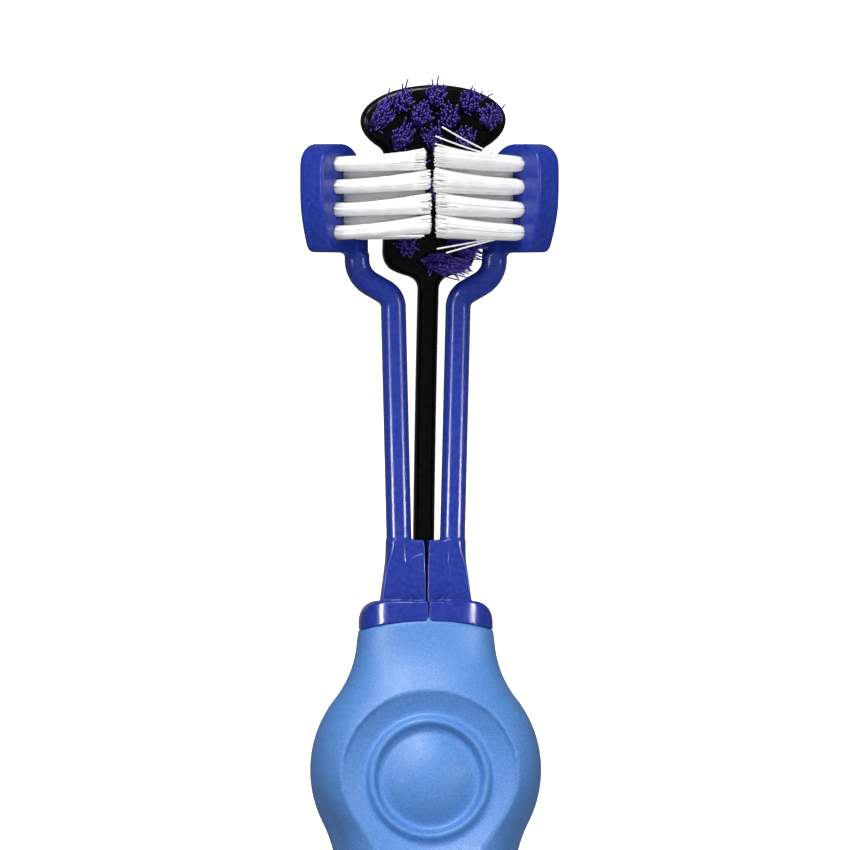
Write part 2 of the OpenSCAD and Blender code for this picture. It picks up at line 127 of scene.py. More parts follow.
# centre arm
STEM_W, STEM_BACK, STEM_FRONT, HEAD_BACK = 2.95, 4.2, 6.8, 3.6
LOBE_HALF, LOBE_HIGH, LOBE_LOW, LOBE_Y = 10.2, 5.0, 5.5, 95.0
BODY_HALF, BODY_Y, BODY_LONG = 6.55, 83.2, 10.2
SHOULDER_X, SHOULDER_Y, SHOULDER_SLOPE = 1.6, 71.5, 0.69
ROOT_R, POCKET_R = 3.0, 3.1
BOW_SLOPE, BOW_CURVE = 0.009, 0.0002
CENTRE_TUFTS = [
    (0, 97.7), (-4.8, 97), (4.8, 97), (-8, 94.6), (8, 94.6), (-2.4, 94.7), (2.4, 94.7),
    (0, 91.6), (-4.7, 91.6), (4.7, 91.6), (-2.4, 88), (2.4, 88), (0, 84.6), (-4, 84.6), (4, 84.6),
    (-2.4, 81.2), (2.4, 81.2), (-3.1, 77.8), (3.1, 77.8), (0, 75.2),
]

FLOOR_DROP = 4.6

# ---------------------------------------------------------------- distance fields


def smooth_min(a, b, k):
    h = np.clip(0.5 + 0.5 * (b - a) / k, 0, 1)
    return b + (a - b) * h - k * h * (1 - h)


def smooth_max(a, b, k):
    return -smooth_min(-a, -b, k)


def ease(t):
    t = np.clip(t, 0, 1)
    return (1 - np.cos(np.pi * t)) / 2


def rounded_rect(u, v, half_u, half_v, r):
    """2-D distance to a rectangle with its corners rounded by r, a number or an array."""
    qu = np.abs(u) - half_u + r
    qv = np.abs(v) - half_v + r
    return np.minimum(np.maximum(qu, qv), 0) + np.hypot(np.maximum(qu, 0), np.maximum(qv, 0)) - r


def slab(outline, z, back, front, r):
    """An outline's field carried from back to front, with its edges rounded by r."""
    qd = outline + r
    qz = np.abs(z - (back + front) / 2) - (front - back) / 2 + r
    return np.minimum(np.maximum(qd, qz), 0) + np.hypot(np.maximum(qd, 0), np.maximum(qz, 0)) - r


def surface_net(field, low, high, step):
    """Vertices and quads of the field's zero surface on a grid, each vertex then moved onto the surface."""
    axes = [np.arange(a, b + step, step) for a, b in zip(low, high)]
    grid = np.meshgrid(*axes, indexing="ij", sparse=True)
    value = np.array(np.broadcast_to(field(*grid), [len(a) for a in axes]), np.float32)
    inside = value < 0
    n = [s - 1 for s in value.shape]
    corners = sum(
        inside[i:n[0] + i, j:n[1] + j, k:n[2] + k].astype(np.int8)
        for i in (0, 1) for j in (0, 1) for k in (0, 1)
    )
    cells = np.argwhere((corners > 0) & (corners < 8))
    index = np.full(n, -1, np.int64)
    index[tuple(cells.T)] = np.arange(len(cells))
    total = np.zeros((len(cells), 3))
    count = np.zeros(len(cells))
    for axis in range(3):
        one = np.eye(3, dtype=int)[axis]
        for shift in range(4):
            offset = np.insert([shift & 1, shift >> 1], axis, 0)
            a = cells + offset
            va, vb = value[tuple(a.T)], value[tuple((a + one).T)]
            hit = (va < 0) != (vb < 0)
            t = np.where(hit, va / np.where(hit, va - vb, 1), 0)
            total += np.where(hit[:, None], a + t[:, None] * one, 0)
            count += hit
    points = np.array(low) + step * total / count[:, None]
    quads = []
    for axis in range(3):
        b, c = (axis + 1) % 3, (axis + 2) % 3
        here = np.moveaxis(inside, (axis, b, c), (0, 1, 2))
        around = np.moveaxis(index, (axis, b, c), (0, 1, 2))
        low_in, high_in = here[:-1, 1:-1, 1:-1], here[1:, 1:-1, 1:-1]
        for found, order in ((low_in & ~high_in, 1), (~low_in & high_in, -1)):
            i, j, k = np.nonzero(found)
            ring = [around[i, j, k], around[i, j + 1, k], around[i, j + 1, k + 1], around[i, j, k + 1]]
            quads.append(np.stack(ring[::order], 1))
    quads = np.concatenate(quads)
    h = 0.01
    for _ in range(4):
        p = points.T
        f = field(*p)
        steps = [h * e[:, None] for e in np.eye(3)]
        g = np.stack([field(*(p + e)) - field(*(p - e)) for e in steps], 1) / (2 * h)
        move = (f / np.maximum((g * g).sum(1), 0.05))[:, None] * g
        size = np.linalg.norm(move, axis=1, keepdims=True)
        points -= move * np.minimum(1, 0.4 * step / np.maximum(size, 1e-9))
    return points, quads


def make_piece(name, points, faces, material):
    """A Blender object from points in millimetres and faces of any one size."""
    mesh = bpy.data.meshes.new(name)
    faces = np.asarray(faces)
    mesh.vertices.add(len(points))
    mesh.vertices.foreach_set("co", (np.asarray(points) * MM).astype(np.float32).ravel())
    mesh.loops.add(faces.size)
    mesh.loops.foreach_set("vertex_index", faces.ravel().astype(np.int32))
    mesh.polygons.add(len(faces))
    mesh.polygons.foreach_set("loop_start", (np.arange(len(faces)) * faces.shape[1]).astype(np.int32))
    mesh.update(calc_edges=True)
    mesh.shade_smooth()
    mesh.materials.append(material)
    obj = bpy.data.objects.new(name, mesh)
    bpy.context.scene.collection.objects.link(obj)
    return obj


# ---------------------------------------------------------------- materials


def new_material(name, color, roughness):
    material = bpy.data.materials.new(name)
    material.use_nodes = True
    shader = material.node_tree.nodes["Principled BSDF"]
    shader.inputs["Base Color"].default_value = (*color, 1)
    shader.inputs["Roughness"].default_value = roughness
    return material, shader


def add_noise(material, scale, detail=2.0):
    """Noise in the object's own coordinates, in grains per metre."""
    nodes, links = material.node_tree.nodes, material.node_tree.links
    place = nodes.new("ShaderNodeTexCoord")
    noise = nodes.new("ShaderNodeTexNoise")
    noise.inputs["Scale"].default_value = scale
    noise.inputs["Detail"].default_value = detail
    links.new(place.outputs["Object"], noise.inputs["Vector"])
    return noise.outputs["Fac"]


def vary_color(material, shader, fac, dark, light):
    nodes, links = material.node_tree.nodes, material.node_tree.links
    ramp = nodes.new("ShaderNodeValToRGB")
    ramp.color_ramp.elements[0].position = 0.35
    ramp.color_ramp.elements[0].color = (*dark, 1)
    ramp.color_ramp.elements[1].position = 0.65
    ramp.color_ramp.elements[1].color = (*light, 1)
    links.new(fac, ramp.inputs["Fac"])
    links.new(ramp.outputs["Color"], shader.inputs["Base Color"])


def vary_roughness(material, shader, fac, low, high):
    nodes, links = material.node_tree.nodes, material.node_tree.links
    span = nodes.new("ShaderNodeMapRange")
    span.inputs["From Min"].default_value = 0.3
    span.inputs["From Max"].default_value = 0.7
    span.inputs["To Min"].default_value = low
    span.inputs["To Max"].default_value = high
    links.new(fac, span.inputs["Value"])
    links.new(span.outputs["Result"], shader.inputs["Roughness"])


def add_bump(material, shader, fac, depth, strength=1.0):
    nodes, links = material.node_tree.nodes, material.node_tree.links
    bump = nodes.new("ShaderNodeBump")
    bump.inputs["Distance"].default_value = depth
    bump.inputs["Strength"].default_value = strength
    links.new(fac, bump.inputs["Height"])
    links.new(bump.outputs["Normal"], shader.inputs["Normal"])


def soft_grip_material():
    """Light blue moulded elastomer with a fine matte grain, about a third of a millimetre across."""
    material, shader = new_material("soft_grip", (0.069, 0.205, 0.52), 0.42)
    vary_color(material, shader, add_noise(material, 3500, 6), (0.052, 0.176, 0.470), (0.086, 0.233, 0.575))
    vary_roughness(material, shader, add_noise(material, 900), 0.37, 0.47)
    shader.inputs["Specular IOR Level"].default_value = 0.65
    add_bump(material, shader, add_noise(material, 4200, 4), 0.00009, 0.6)
    return material


def gloss_blue_material():
    """Royal blue polypropylene: glossy, with the slight flow marks of a moulding."""
    material, shader = new_material("gloss_blue", (0.012, 0.030, 0.26), 0.2)
    shader.inputs["Specular IOR Level"].default_value = 0.4
    vary_color(material, shader, add_noise(material, 1600, 6), (0.008, 0.024, 0.230), (0.016, 0.036, 0.290))
    vary_roughness(material, shader, add_noise(material, 400), 0.17, 0.24)
    add_bump(material, shader, add_noise(material, 1100, 3), 0.000015, 0.5)
    return material


def gloss_black_material():
    """Black polypropylene of the centre arm."""
    material, shader = new_material("gloss_black", (0.004, 0.004, 0.0035), 0.25)
    shader.inputs["Specular IOR Level"].default_value = 0.22
    grain = add_noise(material, 900, 5)
    vary_color(material, shader, grain, (0.0004, 0.0004, 0.0003), (0.0022, 0.0022, 0.0018))
    vary_roughness(material, shader, add_noise(material, 500), 0.16, 0.26)
    add_bump(material, shader, add_noise(material, 900, 2), 0.000015, 0.5)
    return material


def white_bristle_material():
    """White nylon, a little translucent."""
    material, shader = new_material("white_bristle", (0.88, 0.88, 0.87), 0.4)
    vary_color(material, shader, add_noise(material, 500), (0.81, 0.81, 0.80), (0.90, 0.90, 0.89))
    shader.inputs["Specular IOR Level"].default_value = 0.25
    shader.inputs["Subsurface Weight"].default_value = 0.1
    shader.inputs["Subsurface Radius"].default_value = (1, 1, 1)
    shader.inputs["Subsurface Scale"].default_value = 0.0015
    return material


def purple_bristle_material():
    """Purple nylon, darker and lighter along the bristles."""
    material, shader = new_material("purple_bristle", (0.06, 0.03, 0.35), 0.35)
    vary_color(material, shader, add_noise(material, 900), (0.045, 0.027, 0.26), (0.104, 0.070, 0.49))
    return material


def painted_highlight_tip_material():
    """Rounded ends of the purple bristles in a lighter purple: a painted highlight on the ends."""
    material, shader = new_material("painted_highlight_tip", (0.2, 0.16, 0.55), 0.3)
    vary_color(material, shader, add_noise(material, 1500), (0.065, 0.040, 0.31), (0.20, 0.15, 0.58))
    return material


def anchor_material():
    """Flat brass anchor strip with fine drawing marks."""
    material, shader = new_material("anchor_wire", (0.6, 0.5, 0.28), 0.35)
    shader.inputs["Metallic"].default_value = 1.0
    vary_roughness(material, shader, add_noise(material, 3000), 0.25, 0.45)
    return material


soft_grip = soft_grip_material()
gloss_blue = gloss_blue_material()
gloss_black = gloss_black_material()
white_bristle = white_bristle_material()
purple_bristle = purple_bristle_material()
# lighter purple for the bristle ends, a painted highlight
painted_highlight_tip = painted_highlight_tip_material()
anchor_wire = anchor_material()

# ---------------------------------------------------------------- grip


def handle_width(y):
    """Half width of the handle without the rounding of the butt."""
    up = TOP_CENTRE - y
    hollow = NECK_HALF + TOP_FILLET - np.sqrt(np.maximum(TOP_FILLET**2 - up**2, 0))
    bulb = np.sqrt(np.maximum(BULB_R**2 - (y - BULB_Y) ** 2, 0))
    waist = WAIST_HALF + WAIST_FILLET - np.sqrt(np.maximum(WAIST_FILLET**2 - (y - WAIST_Y) ** 2, 0))
    upper_palm = WAIST_HALF + (PALM_HALF - WAIST_HALF) * ease((WAIST_Y - y) / (WAIST_Y - PALM_Y))
    lower_palm = PALM_HALF + (BUTT_HALF - PALM_HALF) * ease((PALM_Y - y) / (PALM_Y - CAP_Y))
    return np.select(
        [y > TOP_CENTRE, y > TOP_TANGENT, y > WAIST_TANGENT, y > WAIST_Y, y > PALM_Y],
        [NECK_HALF + 0 * y, hollow, bulb, waist, upper_palm],
        lower_palm,
    )


def handle_section(x, y, z):
    """Field of the handle's superellipse sections."""
    half = handle_width(y)
    full = sum(height * np.exp(-(((y - at) / SWELL_LENGTH) ** 2)) for at, height in HANDLE_SWELLS)
    front = COLLAR_FRONT + FRONT_GAIN * (half - NECK_HALF) + full
    back = PALM_BACK + (COLLAR_BACK - PALM_BACK) * ease((y - BULB_Y) / (SIDE_FOOT - BULB_Y))
    up = z - MID_Z
    depth = np.where(up > 0, front, back)
    ratio = ((np.abs(x) / half) ** SQUARENESS + (np.abs(up) / depth) ** SQUARENESS) ** (1 / SQUARENESS)
    past = np.maximum(CAP_Y - y, 0) / BUTT_ROUND
    return (np.hypot(ratio, past) - 1) * np.minimum(half, depth)


def core_field(x, y, z, grow=0.0):
    """The square core of the handle, which the two blue halves share, grown by grow."""
    thick = np.abs(z - (CORE_BACK + CORE_FRONT) / 2) - (CORE_FRONT - CORE_BACK) / 2
    side = np.maximum(np.abs(x) - CORE_HALF, thick)
    return np.maximum(side, np.maximum(CORE_FOOT - y, y - GRIP_TOP - 2)) - grow


def grip_edge(x):
    """The arched upper edge of the grip."""
    return GRIP_TOP - GRIP_ARCH + np.sqrt(np.maximum(GRIP_ARCH**2 - x**2, 1))


def thumb_height(r):
    """Height of the thumb feature at a distance from its centre: dish with a raised ring and a dome."""
    wall = np.maximum(r - RING_R - RING_SECTION / 2, 0) / (RIM_R - RING_R - RING_SECTION / 2)
    moat = MOAT_DEPTH * ease((RING_R - r) / RING_SOFT)
    ring = RING_RISE * np.exp(-(np.abs((r - RING_R) / RING_SOFT) ** 2.6))
    dome = smooth_max(DOME_RISE * (1 - (r / DOME_R) ** 2), 0 * r, 0.7)
    rise = RIM_RISE * np.minimum(wall, 2) ** 1.3
    return FLOOR_Z + rise + np.maximum(wall - 1, 0) * 6 - moat + ring + dome


def grip_field(x, y, z):
    r = np.hypot(x, y - THUMB_Y)
    # the sides draw in a little at the upper edge
    body = handle_section(x * (1 + SIDE_DRAW * ease((y - grip_edge(x) + 1.5) / 1.5)), y, z)
    # hollows on both sides of the front, below the bulb
    across, along = (np.abs(x) - HOLLOW_X) / HOLLOW_WIDE, (y - HOLLOW_Y) / HOLLOW_LONG
    hollow = np.exp(-(across**2) - along**2)
    body = body + HOLLOW_DEPTH * hollow * ease((z - MID_Z - 0.5) / 4)
    # raised panel that runs down from the dish
    panel = rounded_rect(x, y - PANEL_Y, PANEL_HALF, PANEL_LONG, PANEL_CORNER)
    on_front = ease((z - MID_Z) / 3)
    body = body - PANEL_RISE * ease((0.9 - panel) / 1.8) * on_front * ease((1 - y) / 6)
    # dish, ring and dome
    body = smooth_max(body, (z - thumb_height(r)) * 0.8, 0.35)
    # flat back, hanging hole, arched edge with the small point at the seam, room for the core
    body = smooth_max(body, -z, 0.5)
    hole = HANG_R - np.hypot(x, y - HANG_Y)
    body = smooth_max(body, hole, 0.8)
    point = SEAM_POINT * np.exp(-((x / SEAM_POINT_WIDE) ** 2))
    body = smooth_max(body, y - grip_edge(x) - point, 0.15)
    return np.maximum(body, -core_field(x, y, z, 0.05))


def build_grip():
    step = 0.36
    points, quads = surface_net(grip_field, (-17, BUTT_Y - 1, -1), (17, GRIP_TOP + 2.5, 22), step)
    grip = make_piece("soft_grip_cover", points, quads, soft_grip)
    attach(grip, "handle")
    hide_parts("grip_sleeve")
    return grip


# ---------------------------------------------------------------- blue halves


def arm_pieces():
    """Centre line of the right arm: runs (start, end) and arcs (centre, radius, first and last angle)."""
    lean = math.radians(ARM_LEAN)
    along = np.array([math.sin(lean), math.cos(lean)])
    hinge = np.array([HINGE_X, HINGE_Y])
    low = hinge - along * (HINGE_Y - 24)
    top = hinge + along * (BEND_Y - HINGE_Y) / math.cos(lean)
    turn = math.radians(BEND_TURN)
    out = np.array([math.cos(lean), -math.sin(lean)])
    centre1 = top + BEND_R1 * out
    arc1 = (centre1, BEND_R1, math.pi - lean, math.pi - turn)
    end1 = centre1 + BEND_R1 * np.array([math.cos(math.pi - turn), math.sin(math.pi - turn)])
    direction = np.array([math.sin(turn), math.cos(turn)])
    start2 = end1 + BEND_RUN * direction
    centre2 = start2 + BEND_R2 * np.array([-math.cos(turn), math.sin(turn)])
    arc2 = (centre2, BEND_R2, -turn, 0.0)
    end2 = centre2 + np.array([BEND_R2, 0.0])
    runs = [(low, top), (end1, start2), (end2, end2 + np.array([0, 5.5]))]
    return runs, [arc1, arc2]


ARM_RUNS, ARM_ARCS = arm_pieces()


def arm_distance(x, y):
    """Distance in the XY plane from the right arm's centre line."""
    best = None
    for a, b in ARM_RUNS:
        d = b - a
        t = np.clip(((x - a[0]) * d[0] + (y - a[1]) * d[1]) / (d @ d), 0, 1)
        far = np.hypot(x - a[0] - t * d[0], y - a[1] - t * d[1])
        best = far if best is None else np.minimum(best, far)
    for centre, r, start, end in ARM_ARCS:
        angle = np.arctan2(y - centre[1], x - centre[0])
        angle = np.where(angle < start - math.pi, angle + 2 * math.pi, angle)
        within = (angle >= min(start, end)) & (angle <= max(start, end))
        far = np.abs(np.hypot(x - centre[0], y - centre[1]) - r)
        best = np.where(within, np.minimum(best, far), best)
    return best


def plate_axes(x, z):
    """(height over the tuft face, distance back from its front edge) on the right head plate."""
    dx, dz = x - PLATE_X, z - PLATE_Z
    over = -dx * math.cos(TILT) + dz * math.sin(TILT)
    back = -dx * math.sin(TILT) - dz * math.cos(TILT)
    return over, back


def side_tuft_places():
    """(y, distance back from the front edge) of the tufts, in the order of their CAD nodes."""
    return [
        (PLATE_Y + (k - (count - 1) / 2) * TUFT_PITCH, ROW_INSET + row * ROW_PITCH)
        for row, count in enumerate(ROWS) for k in range(count)
    ]


# half width of the slit between the halves, at places along the brush
GAP_Y = [25.2, 25.8, 30, WEB_TOP - 1.2, WEB_TOP]
GAP_HALF = [0.02, 0.09, 0.14, 0.26, 0.40]

# fine raised lines on the neck and collar, as runs of X and Y
CREASES = [
    [(1.9, 23.5), (1.9, 27.4), (2.5, 28.4), (3.6, 29.9), (3.9, 31.4)],
    [(3.35, 36.0), (3.1, 33.0), (2.75, 30.6)],
]


def crease_height(x, y):
    """Height of the raised lines over the surface at (x, y)."""
    far = None
    for run in CREASES:
        for (ax, ay), (bx, by) in zip(run, run[1:]):
            dx, dy = bx - ax, by - ay
            t = np.clip(((x - ax) * dx + (y - ay) * dy) / (dx * dx + dy * dy), 0, 1)
            d = np.hypot(x - ax - t * dx, y - ay - t * dy)
            far = d if far is None else np.minimum(far, d)
    return CREASE_RISE * ease((CREASE_HALF - far) / CREASE_HALF)


def neck_half_width(y):
    """Half width of the neck, which flares towards the collar."""
    below = NECK_FLARE_Y - y
    return NECK_TOP_HALF + NECK_FLARE * (below + np.hypot(below, NECK_FLARE_SOFT))


def plate_field(y, over, back):
    """Head plate: a rounded outline that narrows towards its foot."""
    middle = PLATE_D / 2
    low_part, front_part = y < PLATE_Y, back < middle
    corner = np.where(front_part, np.where(low_part, *FRONT_CORNERS), np.where(low_part, *BACK_CORNERS))
    outline = rounded_rect(back - middle, y - PLATE_Y, middle, PLATE_H / 2, corner)
    taper = TAPER_CURVE * np.maximum(TAPER_TOP - y, 0) ** 2
    outline = smooth_max(outline, (taper - back) * 0.94, 0.6)
    plate = smooth_max(outline, over, 0.45)
    return smooth_max(plate, -over - PLATE_T, 1.1)


def neck_field(x, y, z):
    """Neck block, narrower behind, with the arms' front bevels and the faint arc over the root disc."""
    neck = np.abs(x) - neck_half_width(y) + 1.0 * ease((8.6 - z) / 2.2)
    bevel = np.abs(x) - neck_half_width(y) + ARM_W / 2 + (z - MID_Z)
    # the bevels die out towards the collar
    neck = smooth_max(neck, bevel * math.sqrt(0.5) - ARM_BEVEL - 1.3 * ease((36 - y) / 6), ARM_BEVEL_SOFT)
    neck = smooth_max(neck, y - WEB_TOP, 0.25)
    boss = BOSS_RISE * ease((BOSS_R - np.hypot(x, y - ROOT_Y)) / 0.35)
    web_front = MID_Z + ARM_T / 2 - 0.05 + boss + crease_height(x, y)
    neck = smooth_max(neck, z - web_front, 0.25)
    neck = smooth_max(neck, NECK_BACK - z, 0.9)
    return smooth_max(neck, SIDE_FOOT - 2 - y, 0.1)


def collar_field(x, y, z):
    """Collar with a rounded shoulder, just inside the handle's own section."""
    outline = rounded_rect(x, y - COLLAR_TOP + COLLAR_LONG, COLLAR_HALF, COLLAR_LONG, COLLAR_CORNER)
    depth = np.where(z > MID_Z, COLLAR_FRONT - 0.1, COLLAR_BACK - 0.1)
    wide, deep = np.abs(x) / 9.5, np.abs(z - MID_Z) / depth
    ratio = (wide**SQUARENESS + deep**SQUARENESS) ** (1 / SQUARENESS)
    section = (ratio - 1) * depth - crease_height(x, y) * (z > MID_Z)
    collar = smooth_max(outline, section, COLLAR_EDGE)
    return np.maximum(collar, SIDE_FOOT - 2 - y)


def right_half_field(x, y, z):
    """The right blue half: arm, head plate, neck, collar and the stub of its core."""
    over, back = plate_axes(x, z)
    # arm with a bevelled section
    d = arm_distance(x, y)
    up = np.abs(z - MID_Z)
    arm = smooth_max(d - ARM_W / 2, up - ARM_T / 2, 0.3)
    arm = smooth_max(arm, (d + up) * math.sqrt(0.5) - ARM_BEVEL, ARM_BEVEL_SOFT)
    foot = PLATE_Y - PLATE_H / 2
    arm = smooth_max(arm, smooth_min(over, y - foot, 0.8), 0.4)
    body = smooth_min(arm, plate_field(y, over, back), 0.9)
    body = smooth_min(body, neck_field(x, y, z), 0.4)
    body = smooth_min(body, collar_field(x, y, z), 0.15)
    # core stub under the grip, pocket of the black root, slit between the halves
    stub = np.maximum(core_field(x, y, z), CORE_TOP - y)
    body = np.minimum(np.maximum(body, grip_edge(x) + 0.02 - y), stub)
    channel = rounded_rect(x, y - 36, STEM_W / 2 + 0.2, 6, 0.3)
    channel = slab(channel, z, STEM_BACK - 0.1, STEM_FRONT + 0.1, 0.1)
    disc = slab(np.hypot(x, y - ROOT_Y) - POCKET_R, z, STEM_BACK - 0.1, STEM_FRONT + 0.1, 0.1)
    body = smooth_max(body, -np.minimum(channel, disc), 0.2)
    gap = np.interp(y, GAP_Y, GAP_HALF)
    gap = np.where(y < 33, np.where(z < 7.5, GAP_HALF[0], gap), gap)
    body = smooth_max(body, gap - x, 0.05)
    for ty, tback in side_tuft_places():
        hole = np.hypot(y - ty, back - tback) - HOLE_R
        body = smooth_max(body, -np.maximum(hole, -over - HOLE_D), HOLE_SOFT)
    return body


def core_bar():
    """Half of the core inside the grip, from its foot to the stub of the moulding, at X above 0."""
    c = CORE_CHAMFER
    section = [
        (0.02, CORE_BACK), (CORE_HALF - c, CORE_BACK), (CORE_HALF, CORE_BACK + c),
        (CORE_HALF, CORE_FRONT - c), (CORE_HALF - c, CORE_FRONT), (0.02, CORE_FRONT),
    ]
    stations = np.linspace(CORE_FOOT, CORE_TOP, 12)
    points = [(x, y, z) for y in stations for x, z in section]
    n = len(section)
    quads = [
        (i * n + k, i * n + (k + 1) % n, (i + 1) * n + (k + 1) % n, (i + 1) * n + k)
        for i in range(len(stations) - 1) for k in range(n)
    ]
    last = (len(stations) - 1) * n
    for first in (0, last):
        ends = [(first, first + 5, first + 4, first + 1), (first + 1, first + 4, first + 3, first + 2)]
        quads += [e if first == 0 else e[::-1] for e in ends]
    quads = [q[::-1] for q in quads]
    return np.array(points), np.array(quads)


def build_halves():
    step = 0.17
    points, quads = surface_net(right_half_field, (-0.5, CORE_TOP - 0.8, 2.6), (18.6, 92.6, 21.8), step)
    bar_points, bar_quads = core_bar()
    for name, sign in (("right", 1), ("left", -1)):
        flip = np.array([sign, 1, 1])
        all_points = np.concatenate([points, bar_points]) * flip
        all_quads = np.concatenate([quads, bar_quads + len(points)])
        half = make_piece(f"{name}_blue_half", all_points, all_quads[:, ::sign], gloss_blue)
        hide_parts(f"{name}_frame", f"{name}_arm")
        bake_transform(half)


# ---------------------------------------------------------------- black centre arm


def leaned(points):
    """Bends points with the slight sideways bow of the centre arm, which starts at its root."""
    p = np.array(points, float)
    along = p[..., 1] - ROOT_Y
    p[..., 0] += BOW_SLOPE * along + BOW_CURVE * np.maximum(along, 0) ** 2
    return p


def centre_field(x, y, z):
    """The black moulding before it bows: wide lobe, body and stem of one outline, with the root disc."""
    lobe_b = np.where(y > LOBE_Y, LOBE_HIGH, LOBE_LOW)
    lobe = (np.hypot(x / LOBE_HALF, (y - LOBE_Y) / lobe_b) - 1) * LOBE_HIGH
    body = rounded_rect(x, y - BODY_Y, BODY_HALF, BODY_LONG, 1.0)
    shoulder = ((np.abs(x) - SHOULDER_X) * SHOULDER_SLOPE + SHOULDER_Y - y) * 0.82
    body = smooth_max(body, shoulder, 1.5)
    head = smooth_min(lobe, body, 1.2)
    stem = np.maximum(np.abs(x) - STEM_W / 2, y - 76)
    outline = smooth_min(head, stem, 1.8)
    outline = np.maximum(outline, ROOT_Y - y)
    back = HEAD_BACK + (STEM_BACK - HEAD_BACK) * ease((75 - y) / 4)
    shape = smooth_max(outline, z - STEM_FRONT, 1.0)
    shape = smooth_max(shape, back - z, 0.9)
    root = slab(np.hypot(x, y - ROOT_Y) - ROOT_R, z, STEM_BACK, STEM_FRONT, 0.3)
    shape = smooth_min(shape, root, 0.2)
    for tx, ty in CENTRE_TUFTS:
        hole = np.hypot(x - tx, y - ty) - HOLE_R
        shape = smooth_max(shape, -np.maximum(hole, STEM_FRONT - HOLE_D - z), HOLE_SOFT)
    return shape


def build_centre_arm():
    step = 0.18
    points, quads = surface_net(centre_field, (-11, ROOT_Y - 3.6, 3), (11, TOP_Y + 1, 7.4), step)
    arm = make_piece("black_centre_arm", leaned(points), quads, gloss_black)
    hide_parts("centre_root", "centre_arm")
    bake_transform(arm)


# ---------------------------------------------------------------- bristles


def sunflower(count, radius):
    """Evenly spread points in a disc."""
    k = np.arange(count) + 0.5
    r = radius * np.sqrt(k / count)
    a = k * math.pi * (3 - math.sqrt(5))
    return np.stack([r * np.cos(a), r * np.sin(a)], 1)


def ring_quads(rings, sides):
    """Quads between rings of points, each ring joined to the next."""
    i, k = np.meshgrid(np.arange(rings - 1), np.arange(sides), indexing="ij")
    nxt = (k + 1) % sides
    corners = [i * sides + k, i * sides + nxt, (i + 1) * sides + nxt, (i + 1) * sides + k]
    return np.stack(corners, -1).reshape(-1, 4)


def tube(path, radius, sides):
    """Points and quads of a bristle with a rounded end along a path of points."""
    path = np.asarray(path)
    tangent = np.gradient(path, axis=0)
    tangent /= np.linalg.norm(tangent, axis=1, keepdims=True)
    across = np.cross(tangent, (0.36, 0.48, 0.8))
    across /= np.linalg.norm(across, axis=1, keepdims=True)
    other = np.cross(tangent, across)
    a = np.arange(sides) * 2 * math.pi / sides
    cap = [path[-1] + tangent[-1] * radius * 0.75]
    centres = np.concatenate([path, cap])
    widths = np.append(np.full(len(path), radius), radius * 0.5)
    across, other = np.vstack([across, across[-1:]]), np.vstack([other, other[-1:]])
    cos, sin = np.cos(a)[None, :, None], np.sin(a)[None, :, None]
    rings = centres[:, None] + widths[:, None, None] * (cos * across[:, None] + sin * other[:, None])
    n = len(centres)
    quads = ring_quads(n, sides)
    ends = []
    for first, order in ((0, 1), ((n - 1) * sides, -1)):
        for m in range(0, sides - 2, 2):
            ends.append([first, first + m + 1, first + m + 2, first + (m + 3) % sides][::order])
    return rings.reshape(-1, 3), np.concatenate([quads, np.array(ends)[:, ::-1]])


def core_tube(rings, sides, rng, ridge):
    """A closed tube through rings of (centre, half axis, other half axis), with fine ridges along it."""
    a = np.arange(sides) * 2 * math.pi / sides
    wave = 1 + ridge * rng.uniform(-1, 1, sides)
    cos, sin = np.cos(a)[:, None], np.sin(a)[:, None]
    points = [c + wave[:, None] * (cos * u + sin * v) for c, u, v in rings]
    ends = []
    for first, order in ((0, -1), ((len(rings) - 1) * sides, 1)):
        last = first + sides - 1
        for m in range(sides // 2 - 1):
            ends.append([first + m, first + m + 1, last - 1 - m, last - m][::order])
    return np.concatenate(points), np.concatenate([ring_quads(len(rings), sides), np.array(ends)])


def join_meshes(meshes):
    """One mesh from a list of (points, quads)."""
    points, quads, count = [], [], 0
    for p, q in meshes:
        points.append(p)
        quads.append(q + count)
        count += len(p)
    return np.concatenate(points), np.concatenate(quads)


# for each tuft of a side head: radius at the root, half height at the tips, how far the tips bend up and
# how far they end from the middle plane; the rows behind the front one follow after its four tufts
RIGHT_TUFTS = [
    (1.16, 1.65, 0.95, 0.50), (1.16, 1.68, 0.75, 0.55),
    (1.18, 1.78, 0.85, 0.18), (1.18, 1.50, 1.0, 0.30),
]
LEFT_TUFTS = [
    (0.92, 1.35, 1.15, 0.42), (0.88, 1.50, 0.80, 0.40),
    (0.98, 1.40, 0.95, 0.50), (1.06, 1.50, 0.55, 1.10),
]
BACK_TUFTS = [(1.0, 1.5, 0.9, 1.0)] * 3 + [(1.0, 1.4, 0.6, 1.1)] * 4
TUFT_DEPTH = 1.25  # half depth of a tuft at its tips

# radii of the bristles: round the outside of a white tuft, elsewhere, and those that stand away
SHELL_R, BRISTLE_R, STRAY_R, LOOSE_R = 0.075, 0.1, 0.12, 0.125
BRISTLE_SIDES = 5

# bristles that stand away from their tuft: tuft number, then how far each tip moves
RIGHT_STRAYS = {
    3: [(1.0, 3.3, 0.2), (0.1, 2.0, 0.3), (0.0, 0.95, 0.2)],
    0: [(0.1, -2.45, 0.2), (1.4, -3.0, 0.0)],
}
LEFT_STRAYS = {0: [(0.9, -1.0, 0.3)], 3: [(0.2, 0.7, 0.2)]}


